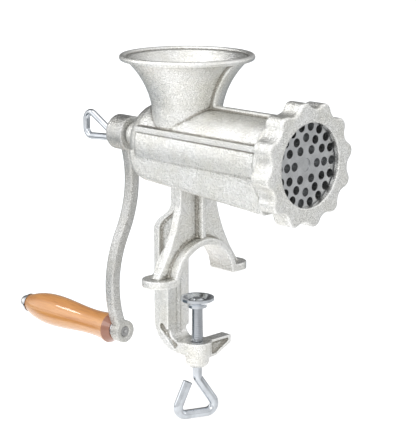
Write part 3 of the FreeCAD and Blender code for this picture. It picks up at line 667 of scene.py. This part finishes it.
class GRINDER_OT_stage(bpy.types.Operator):
    """Pale floor, soft studio light and the camera"""

    bl_idname = "grinder.stage"
    bl_label = "Stage"

    def execute(self, context):
        context.scene.view_settings.view_transform = "Standard"
        self.floor(context)
        self.world(context)
        self.lamps(context)
        self.camera(context)
        return {"FINISHED"}

    def floor(self, context):
        """Square of paper under the part."""
        bm = bmesh.new()
        bmesh.ops.create_grid(bm, x_segments=1, y_segments=1, size=FLOOR_HALF)
        bmesh.ops.translate(bm, verts=bm.verts, vec=(0.0, 0.0, FLOOR_Z))
        mesh = bpy.data.meshes.new("floor")
        bm.to_mesh(mesh)
        bm.free()
        mesh.materials.append(self.paper())
        floor = bpy.data.objects.new("floor", mesh)
        context.scene.collection.objects.link(floor)

    def paper(self):
        """Paper that looks white, and that metal mirrors with lighter and darker places."""
        material, tree, shader, place = node_tree("pale floor")
        across = along(tree, place, STAGE_RIGHT)
        away = along(tree, place, STAGE_BACK)
        reach = distance(tree, place, (0.0, 0.0, FLOOR_Z))
        off_patch = distance(tree, place, DARK_PATCH)
        pale = product(
            tree,
            span(tree, across, 1.0, 0.8, start=0.11, end=0.78),
            span(tree, off_patch, 0.0, 1.0, start=0.16, end=0.24),
            span(tree, away, 1.0, 0.25, start=0.25, end=0.50))
        glow = span(tree, reach, 0.3, 1.0, start=0.16, end=0.59)
        made_up = span(tree, pale, 1.0, 0.0, start=0.0, end=1.0)
        white = arithmetic(tree, "MAXIMUM", glow, made_up)
        near = product(
            tree,
            span(tree, reach, 0.5, 0.0, start=0.31, end=0.49),
            span(tree, across, 1.0, 0.0, start=0.0, end=0.17),
            span(tree, reach, 0.55, 1.0, start=0.0, end=0.11))
        far_left = span(tree, across, 0.45, 0.0, start=-1.1, end=-0.56)
        mirrored = product(tree, pale, arithmetic(tree, "ADD", near, far_left))
        plug_all(tree, shader, {
            "Base Color": ramp(tree, pale, [(0.0, PATCH_GREY), (1.0, PAPER_WHITE)]),
            "Roughness": 0.9,
            "Emission Color": (*WHITE, 1.0),
            "Emission Strength": stage_strength(tree, white, mirrored, for_light=0.0),
        })
        return material

    def world(self, context):
        """White room, which metal mirrors with a window at the left and a darker back."""
        world = bpy.data.worlds.new("studio")
        context.scene.world = world
        world.use_nodes = True
        tree = world.node_tree
        direction = tree.nodes.new("ShaderNodeTexCoord").outputs["Generated"]
        rear = span(tree, along(tree, direction, HIGH_REAR), 0.98, 0.32, start=0.70, end=0.95)
        window = span(tree, along(tree, direction, HIGH_LEFT), 0.0, 0.5, start=0.84, end=0.97)
        back = span(tree, along(tree, direction, STAGE_BACK), 1.0, 0.35, start=0.45, end=0.8)
        room = product(tree, arithmetic(tree, "ADD", rear, window), back)
        plug_all(tree, tree.nodes["Background"], {
            "Color": (*WHITE, 1.0),
            "Strength": stage_strength(tree, 1.0, room, for_light=0.75),
        })

    def lamps(self, context):
        """Soft lamps, all aimed at the middle of the part."""
        for name, place, width, height, watts in LAMPS:
            lamp = bpy.data.lights.new(name, "AREA")
            lamp.shape = "RECTANGLE"
            lamp.size = width
            lamp.size_y = height
            lamp.energy = watts
            holder = bpy.data.objects.new(name, lamp)
            holder.location = place
            aim = LAMP_AIM - Vector(place)
            holder.rotation_euler = aim.to_track_quat("-Z", "Y").to_euler()
            context.scene.collection.objects.link(holder)

    def camera(self, context):
        """Camera between the mouth and the side of the part, a little above it."""
        level = math.cos(CAMERA_PITCH)
        back = Vector((
            math.sin(CAMERA_TURN) * level, -math.cos(CAMERA_TURN) * level, math.sin(CAMERA_PITCH)))
        camera = bpy.data.cameras.new("camera")
        camera.sensor_width = CAMERA_SENSOR
        camera.lens = CAMERA_LENS
        camera.clip_end = CAMERA_REACH
        holder = bpy.data.objects.new("camera", camera)
        holder.location = CAMERA_PLACE
        holder.rotation_euler = (-back).to_track_quat("-Z", "Y").to_euler()
        context.scene.collection.objects.link(holder)
        context.scene.camera = holder


class GRINDER_PT_panel(bpy.types.Panel):
    """Buttons and looks of the grinder"""

    bl_label = "Meat grinder"
    bl_idname = "GRINDER_PT_panel"
    bl_space_type = "VIEW_3D"
    bl_region_type = "UI"
    bl_category = "Grinder"

    def draw(self, context):
        layout = self.layout
        for operator in OPERATORS:
            layout.operator(operator.bl_idname)
        for name, look in LOOKS.items():
            for setting in look.__annotations__:
                layout.prop(getattr(context.scene, name), setting)


LOOKS = {"grinder_casting": CastingLook, "grinder_handle": HandleLook, "grinder_plated": PlatedLook}
OPERATORS = (
    GRINDER_OT_body,
    GRINDER_OT_ring,
    GRINDER_OT_crank,
    GRINDER_OT_handle,
    GRINDER_OT_clamp,
    GRINDER_OT_cutting_set,
    GRINDER_OT_feed,
    GRINDER_OT_stage,
)


def register():
    for name, look in LOOKS.items():
        bpy.utils.register_class(look)
        setattr(bpy.types.Scene, name, bpy.props.PointerProperty(type=look))
    for operator in OPERATORS:
        bpy.utils.register_class(operator)
    bpy.utils.register_class(GRINDER_PT_panel)


def unregister():
    bpy.utils.unregister_class(GRINDER_PT_panel)
    for operator in reversed(OPERATORS):
        bpy.utils.unregister_class(operator)
    for name, look in LOOKS.items():
        delattr(bpy.types.Scene, name)
        bpy.utils.unregister_class(look)


def main():
    register()
    bpy.ops.grinder.body()
    bpy.ops.grinder.ring()
    bpy.ops.grinder.crank()
    bpy.ops.grinder.handle()
    bpy.ops.grinder.clamp()
    bpy.ops.grinder.cutting_set()
    bpy.ops.grinder.feed()
    bpy.ops.grinder.stage()


if __name__ == "__main__":
    main()
